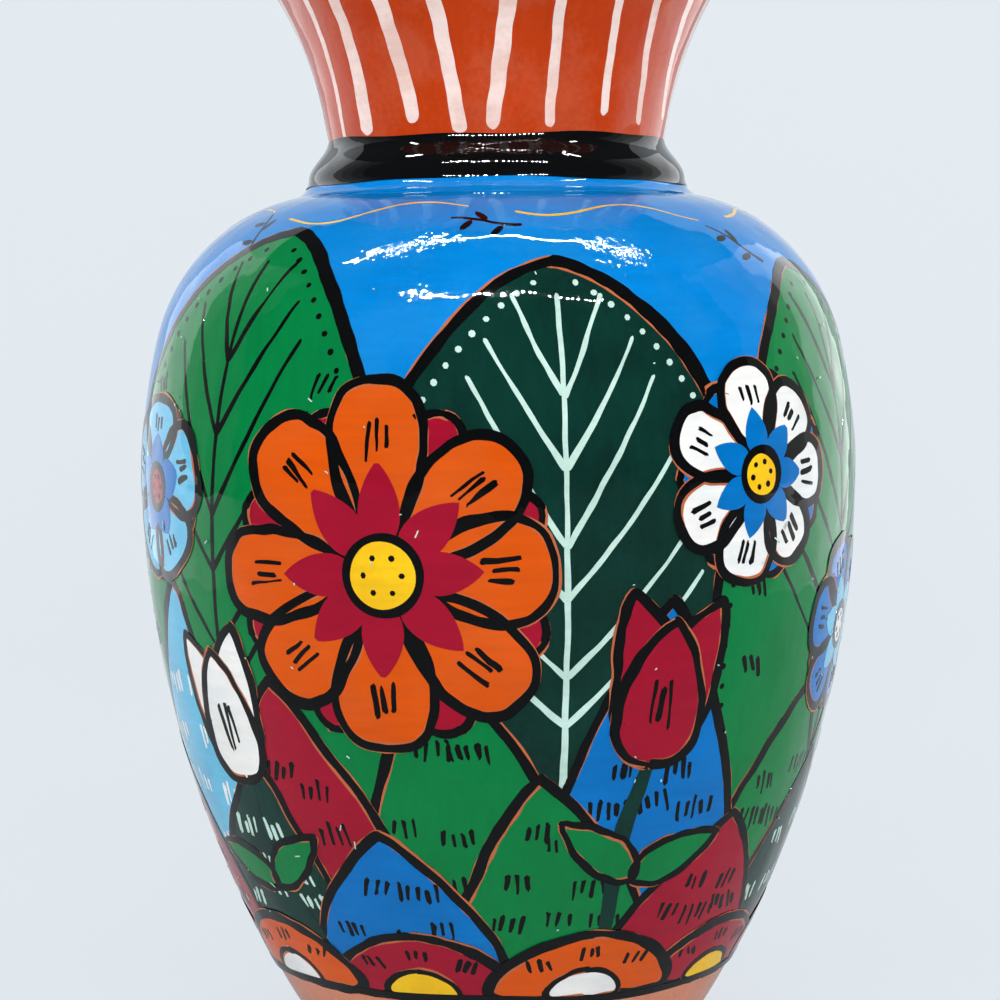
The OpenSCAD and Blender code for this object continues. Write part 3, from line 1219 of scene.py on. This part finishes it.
class VASE_OT_low_leaves(bpy.types.Operator):
    """Paints two rows of pointed leaves that rise from the lower edge"""

    bl_idname = "vase.low_leaves"
    bl_label = "Pointed leaves"

    def hatched_leaf(self, brush, paint, layer, spot, edges, width, high, gap, length):
        """One leaf with its outline's width, hatched to a share of its height by strokes of a length."""
        low = 0.3
        line = {"light_blue": "white", "dark_green": "mint"}.get(paint, "black")
        brush.leaf(paint, layer, spot, edges, width)
        brush.hatching(line, layer + LEAF_LAYERS - 1, spot, edges, low, high, gap, length)

    def execute(self, context):
        brush = Brushwork(body_surface(), sizes().seed + 20)
        root = mm(sizes().paint_low)
        tall = ("light_blue", "crimson", "green", "blue", "green", "green")
        tall_lines = {"width": 2.1, "high": 0.82, "gap": 12, "length": 4.8}
        short = ("dark_green", "blue", "green", "crimson")
        short_lines = {"width": 1.9, "high": 0.8, "gap": 10, "length": 4.4}
        leaves = 12
        step = 360 / leaves
        for n in range(leaves):
            length = 78 + 11 * math.cos(2.3 * n)
            bend = 7 * math.cos(1.3 * n + 1)
            edges = blade(length, width=45, root_power=0.28, tip_power=0.8, bend=bend)
            spot = Spot(brush.surface, step * n - 65, root)
            layer = TALL_LAYER + n % 2 * LEAF_LAYERS
            self.hatched_leaf(brush, tall[n % len(tall)], layer, spot, edges, **tall_lines)
        for n in range(leaves):
            length = 46 + 7 * math.cos(2.9 * n)
            bend = 6 * math.cos(1.9 * n)
            edges = blade(length, width=40, root_power=0.25, tip_power=0.85, bend=bend)
            spot = Spot(brush.surface, step * n - 50, root)
            layer = SHORT_LAYER + n % 2 * LEAF_LAYERS
            self.hatched_leaf(brush, short[n % len(short)], layer, spot, edges, **short_lines)
        brush.build("pointed_leaves")
        return {"FINISHED"}


class VASE_OT_flowers(bpy.types.Operator):
    """Paints the flowers, one set on the front and one in other colours on the back"""

    bl_idname = "vase.flowers"
    bl_label = "Flowers"

    def execute(self, context):
        brush = Brushwork(body_surface(), sizes().seed + 30)
        front = ("orange", "white", "crimson", "light_blue")
        back = ("crimson", "light_blue", "orange", "white")
        for turned, (large, pale, small, fifth) in ((0, front), (180, back)):
            # Paints of petals, flames and centre, degrees round, height, turn, petals, radius and heart
            rosettes = (
                (large, small, "yellow", -17, 113, 0, 8, 36, 15),
                (pale, "blue", "yellow", 42, 131, 12, 7, 22, 10),
                (fifth, "blue", small, -66, 128, 0, 5, 20, 9),
                ("blue", fifth, "white", 72, 97, 20, 6, 19, 9),
            )
            for petal, flame, centre, around, rise, turn, *form in rosettes:
                spot = Spot(brush.surface, turned + around, rise, turn)
                brush.rosette(petal, flame, centre, FLOWER_LAYER, spot, *form)
            # Paint, degrees round, height, turn, and the cup's height and width
            tulips = (
                (small, 24, 74, -8, 34, 30),
                (pale, -48, 68, 10, 32, 27),
            )
            for paint, around, rise, turn, *form in tulips:
                spot = Spot(brush.surface, turned + around, rise, turn)
                brush.tulip(paint, FLOWER_LAYER, spot, *form)
        brush.build("flowers")
        return {"FINISHED"}


class VASE_OT_border(bpy.types.Operator):
    """Paints a border of scallops along the lower edge and the black line under them"""

    bl_idname = "vase.border"
    bl_label = "Border"

    def execute(self, context):
        brush = Brushwork(body_surface(), sizes().seed + 40)
        root = mm(sizes().paint_low)
        scallops = 10
        width = 39.0
        for n in range(scallops):
            outer, inner = (("orange", "white"), ("crimson", "yellow"))[n % 2]
            layer = BORDER_LAYERS[n % 2]
            spot = Spot(brush.surface, 360 / scallops * (n + 0.5), root)
            height = 15 + 1.2 * math.cos(2.2 * n)
            edges = blade(height, width, root_power=0.12, tip_power=0.5)
            brush.leaf(outer, layer, spot, edges, width=2.1)
            layer += LEAF_LAYERS
            edges = blade(height * 0.45, width * 0.4, root_power=0.15, tip_power=0.5)
            brush.leaf(inner, layer, spot, edges, width=1.3)
            for side in (-1, 0, 1):
                x, y = 0.26 * width * side, height * (0.72 - 0.16 * abs(side))
                brush.hatch("black", layer, spot, x, y, count=3, length=3.2, lean=24 * side)
        around = np.linspace(-math.pi, math.pi, 400, endpoint=False)
        line = np.column_stack((around * brush.surface.girth, lower_edge()(around)))
        brush.band("lower_line", "black", LINE_LAYER, line, width=1.8)
        brush.build("border")
        return {"FINISHED"}


class VASE_OT_sprigs(bpy.types.Operator):
    """Paints thin tendrils and small buds on the sky of the shoulder"""

    bl_idname = "vase.sprigs"
    bl_label = "Shoulder sprigs"

    def execute(self, context):
        brush = Brushwork(body_surface(), sizes().seed + 50)
        sprigs = 7
        taper = 0.5
        curve = np.linspace(-24, 24, 50)
        stem = [(1.5 * math.sin(y / 4), y) for y in np.linspace(-7, 7, 24)]
        for n in range(sprigs):
            around = 360 / sprigs * n - 27
            tendril = Spot(brush.surface, around, 190, 6 * math.cos(2 * n))
            path = tendril.place([(0.85 * x, 2.6 * math.sin(x / 7 + n)) for x in curve])
            brush.stroke("tendrils", "yellow", FIRST_LAYER, path, 0.7, taper)
            rise = 183 + 3 * math.cos(3 * n)
            twig = Spot(brush.surface, around + 25, rise, 62 + 30 * math.cos(1.7 * n))
            brush.stroke("twigs", "black", FIRST_LAYER, twig.place(stem), 0.9, taper)
            for side, y in ((-1, -3.5), (1, -0.5), (-1, 2.5)):
                bud = oval(1.5, 4.2, -0.9 * side) + (1.5 * math.sin(y / 4) + 2.0 * side, y + 1.4)
                brush.shape("twigs", "black", FIRST_LAYER, twig.place(bud))
        brush.build("sprigs")
        return {"FINISHED"}


class VASE_OT_dust(bpy.types.Operator):
    """Strews the specks and fibres that were caught in the varnish"""

    bl_idname = "vase.dust"
    bl_label = "Dust in the varnish"

    def execute(self, context):
        brush = Brushwork(body_surface(), sizes().seed + 60)
        specks = 110
        low, high = 26, 176
        for _ in range(specks):
            around, rise = brush.hand.uniform(-180, 180), brush.hand.uniform(low, high)
            spot = Spot(brush.surface, around, rise, brush.hand.uniform(0, 360))
            length, bow = 0.4 + 1.6 * brush.hand.random() ** 3, brush.hand.uniform(-0.4, 0.4)
            fibre = [(bow * length * math.sin(math.pi * t), length * t) for t in np.linspace(0, 1, 7)]
            brush.stroke("specks", "mint", DUST_LAYER, spot.place(fibre), width=0.26)
        brush.build("dust")
        return {"FINISHED"}


class VASE_OT_neck_stripes(bpy.types.Operator):
    """Paints the neck's white stripes, drawn by hand from the lip down to the black"""

    bl_idname = "vase.neck_stripes"
    bl_label = "White stripes"

    def back_stripes(self, hand):
        """The stripes of the sides and the back, spaced as those at the front are."""
        count = 15
        stripes = []
        for n in range(count):
            top = 80 + 200 / (count - 1) * n + hand.uniform(-2, 2)
            foot = top + hand.uniform(-5, 5)
            end = hand.uniform(196.5, 200.5)
            wide = hand.uniform(2.4, 3.8)
            stripes.append((top, foot, end, wide, 2.4))
        return stripes

    def execute(self, context):
        surface = neck_surface()
        brush = Brushwork(surface, sizes().seed + 60)
        lip = surface.outline.reach(node_top("neck") - 0.6)
        share = np.linspace(0, 1, STRIPE_POINTS)
        for top, foot, end, wide, narrow in (*FRONT_STRIPES, *self.back_stripes(brush.hand)):
            rows = lip + (surface.outline.reach(end) - lip) * share
            risen = (surface.outline.at(rows)[1] - end) / (STRIPE_SIGHT - end)
            around = np.radians(foot + (top - foot) * risen) * surface.girth
            around += brush.unsteady(STRIPE_POINTS, 0.15)
            path = np.column_stack((around, rows))
            brush.stroke("stripes", "stripe", FIRST_LAYER, path, wide, taper=1 - narrow / wide, shake=0.05)
        brush.build("neck")
        return {"FINISHED"}


class VASE_OT_stage(bpy.types.Operator):
    """Sets the floor, the lamps and the camera"""

    bl_idname = "vase.stage"
    bl_label = "Stage"

    def execute(self, context):
        build_floor()
        build_world()
        build_lamps()
        build_camera()
        context.scene.view_settings.view_transform = "Standard"
        return {"FINISHED"}


# Stage

FLOOR_COLOUR = srgb(223, 230, 236)

# The camera, its focal length in pixels of the picture and its angles in degrees
PICTURE_SIDE = 1000
SENSOR_MM = 36.0
CAMERA_FOCAL_PX = 2610.0
CAMERA_DISTANCE = 574.2 * MM
CAMERA_HEIGHT = 158.0 * MM
CAMERA_ASIDE = 0.5 * MM
CAMERA_PITCH = 3.92
CAMERA_ROLL = 0.48

# Soft fills, which give no highlights: name, place in metres and watts
FILLS = (
    ("front_fill", (0, -2.6, 0.4), 37.0),
    ("left_fill", (-2.6, -0.8, 0.4), 17.0),
    ("right_fill", (2.6, -0.8, 0.4), 17.0),
    ("left_back_fill", (-2.2, 0.9, 0.4), 22.0),
    ("right_back_fill", (2.2, 0.9, 0.4), 22.0),
)

# Pale walls, brighter towards the back: side, name and watts of the brightest panel
WALLS = ((-1, "left_wall", 0.18), (1, "right_wall", 0.27))
WALL_PANELS = 8
WALL_ASIDE = 0.5
WALL_MIDDLE = 0.32
PANEL_DEPTH = 0.1
PANEL_HEIGHT = 0.62

# The roof's strip and its row of small lamps, which give only highlights
ROOF = 0.62
ROOF_LAMPS = 21
LAMP_PITCH = 0.03
LAMP_SIDE = 0.009


def pale_material(name):
    """A dim lit surface, shown at the backdrop's colour to the camera and, towards the back, to mirrors."""
    material = bpy.data.materials.new(name)
    material.use_nodes = True
    tree = material.node_tree
    rays = tree.nodes.new("ShaderNodeLightPath").outputs
    lit = tree.nodes["Principled BSDF"]
    lit.inputs["Roughness"].default_value = 0.8
    lit.inputs["Specular IOR Level"].default_value = 0.1
    tint = tree.nodes.new("ShaderNodeVectorMath")
    tint.operation = "SCALE"
    tint.inputs[0].default_value = FLOOR_COLOUR
    paleness = ranged(tree, rays["Is Diffuse Ray"], 0.0, 1.0, least=0.2, most=0.7)
    tree.links.new(paleness, tint.inputs["Scale"])
    tree.links.new(tint.outputs["Vector"], lit.inputs["Base Color"])
    place = tree.nodes.new("ShaderNodeSeparateXYZ")
    tree.links.new(tree.nodes.new("ShaderNodeTexCoord").outputs["Object"], place.inputs[0])
    back = ranged(tree, place.outputs["Y"], -0.2, 0.35, least=0.08)
    mirrored = scaled(tree, rays["Is Glossy Ray"], back)
    direct = math_node(tree, "MAXIMUM", rays["Is Camera Ray"], rays["Is Transmission Ray"])
    level = scaled(tree, math_node(tree, "MAXIMUM", direct, mirrored), 0.86)
    shown = tree.nodes.new("ShaderNodeEmission")
    shown.inputs["Color"].default_value = (*FLOOR_COLOUR, 1)
    tree.links.new(level, shown.inputs["Strength"])
    both = tree.nodes.new("ShaderNodeAddShader")
    tree.links.new(lit.outputs[0], both.inputs[0])
    tree.links.new(shown.outputs[0], both.inputs[1])
    tree.links.new(both.outputs[0], tree.nodes["Material Output"].inputs["Surface"])
    return material


def build_floor():
    """A pale floor that sweeps up into a backdrop."""
    half, front, back, bend, top = 1.7, -1.5, 0.6, 0.4, 1.6
    level = -0.0002
    steps = 12
    outline = [(front, level), (back, level)]
    for n in range(1, steps + 1):
        turn = math.radians(90 * n / steps)
        outline.append((back + bend * math.sin(turn), level + bend * (1 - math.cos(turn))))
    outline.append((back + bend, top))
    verts = [(x, y, z) for y, z in outline for x in (-half, half)]
    faces = [(2 * i, 2 * i + 1, 2 * i + 3, 2 * i + 2) for i in range(len(outline) - 1)]
    mesh = bpy.data.meshes.new("floor")
    mesh.from_pydata(verts, [], faces)
    mesh.shade_smooth()
    mesh.materials.append(pale_material("pale_floor"))
    floor = bpy.data.objects.new("floor", mesh)
    bpy.context.scene.collection.objects.link(floor)


def build_world():
    """Dim even light, seen by the camera as the pale backdrop."""
    world = bpy.data.worlds.new("studio")
    bpy.context.scene.world = world
    world.use_nodes = True
    tree = world.node_tree
    tree.nodes.clear()
    rays = tree.nodes.new("ShaderNodeLightPath")
    fill = tree.nodes.new("ShaderNodeBackground")
    fill.inputs["Color"].default_value = (0.9, 0.95, 1.0, 1)
    fill.inputs["Strength"].default_value = 0.06
    shown = tree.nodes.new("ShaderNodeBackground")
    shown.inputs["Color"].default_value = (*FLOOR_COLOUR, 1)
    shown.inputs["Strength"].default_value = 1.0
    choice = tree.nodes.new("ShaderNodeMixShader")
    output = tree.nodes.new("ShaderNodeOutputWorld")
    tree.links.new(rays.outputs["Is Camera Ray"], choice.inputs["Fac"])
    tree.links.new(fill.outputs[0], choice.inputs[1])
    tree.links.new(shown.outputs[0], choice.inputs[2])
    tree.links.new(choice.outputs[0], output.inputs["Surface"])


def area_lamp(name, place, aim, width, depth, watts, spread=180):
    """A rectangular lamp aimed at a point, hidden from the camera, its light spread over these degrees."""
    lamp = bpy.data.lights.new(name, "AREA")
    lamp.shape = "RECTANGLE"
    lamp.size = width
    lamp.size_y = depth
    lamp.energy = watts
    lamp.spread = math.radians(spread)
    thing = bpy.data.objects.new(name, lamp)
    thing.location = place
    thing.rotation_euler = (Vector(aim) - Vector(place)).to_track_quat("-Z", "Y").to_euler()
    thing.visible_camera = False
    bpy.context.scene.collection.objects.link(thing)
    return thing


def build_lamps():
    """Soft fills, pale walls to either side, and a strip and a row of small lamps in the roof."""
    fills = [area_lamp(name, place, (0, 0, 0.12), 1.0, 0.4, watts) for name, place, watts in FILLS]
    for side, name, level in WALLS:
        for n in range(WALL_PANELS):
            y = PANEL_DEPTH * n
            place = (side * WALL_ASIDE, y, WALL_MIDDLE)
            watts = level * (n + 1) / WALL_PANELS
            area_lamp(f"{name}_{n}", place, (0, y, WALL_MIDDLE), PANEL_DEPTH, PANEL_HEIGHT, watts)
    fills.append(area_lamp("roof_fill", (0, -0.4, ROOF), (0, 0, 0.15), 0.6, 0.2, watts=2.2))
    glints = [area_lamp("roof_strip", (0, -0.05, ROOF), (0, 0, 0.1), 0.6, 0.014, watts=3.5)]
    for n in range(ROOF_LAMPS):
        x = (n - (ROOF_LAMPS - 1) / 2) * LAMP_PITCH
        place, aim = (x, -0.42, ROOF), (x * 0.5, 0, 0.15)
        glints.append(area_lamp(f"roof_lamp_{n}", place, aim, LAMP_SIDE, LAMP_SIDE, watts=0.08, spread=66))
    for lamp in fills:
        lamp.visible_glossy = False
    for lamp in glints:
        lamp.visible_diffuse = False


def build_camera():
    """The photograph's viewpoint, its picture taken as square."""
    data = bpy.data.cameras.new("camera")
    data.sensor_width = SENSOR_MM
    data.lens = CAMERA_FOCAL_PX * SENSOR_MM / PICTURE_SIDE
    camera = bpy.data.objects.new("camera", data)
    camera.location = (CAMERA_ASIDE, -CAMERA_DISTANCE, CAMERA_HEIGHT)
    camera.rotation_euler = (math.radians(90 - CAMERA_PITCH), math.radians(CAMERA_ROLL), 0)
    bpy.context.scene.collection.objects.link(camera)
    bpy.context.scene.camera = camera


class VASE_PT_panel(bpy.types.Panel):
    """Lists the vase's steps"""

    bl_idname = "VASE_PT_panel"
    bl_label = "Painted vase"
    bl_space_type = "VIEW_3D"
    bl_region_type = "UI"
    bl_category = "Vase"

    def draw(self, context):
        for operator in OPERATORS:
            self.layout.operator(operator.bl_idname)
        for group in (context.scene.vase_sizes, context.scene.vase_colours):
            for label in group.__annotations__:
                self.layout.prop(group, label)


OPERATORS = (
    VASE_OT_clay,
    VASE_OT_foot_band,
    VASE_OT_sky,
    VASE_OT_back_leaves,
    VASE_OT_low_leaves,
    VASE_OT_flowers,
    VASE_OT_border,
    VASE_OT_sprigs,
    VASE_OT_dust,
    VASE_OT_collar,
    VASE_OT_neck,
    VASE_OT_neck_stripes,
    VASE_OT_stage,
)
CLASSES = (VaseSizes, VaseColours, *OPERATORS, VASE_PT_panel)


def register():
    """Adds the classes and the scene's settings."""
    for each in CLASSES:
        bpy.utils.register_class(each)
    bpy.types.Scene.vase_sizes = PointerProperty(type=VaseSizes)
    bpy.types.Scene.vase_colours = PointerProperty(type=VaseColours)


def unregister():
    """Takes the classes and the scene's settings away again."""
    del bpy.types.Scene.vase_colours
    del bpy.types.Scene.vase_sizes
    for each in reversed(CLASSES):
        bpy.utils.unregister_class(each)


def main():
    """Builds every piece and the stage."""
    register()
    for operator in OPERATORS:
        group, name = operator.bl_idname.split(".")
        getattr(getattr(bpy.ops, group), name)()


if __name__ == "__main__":
    main()
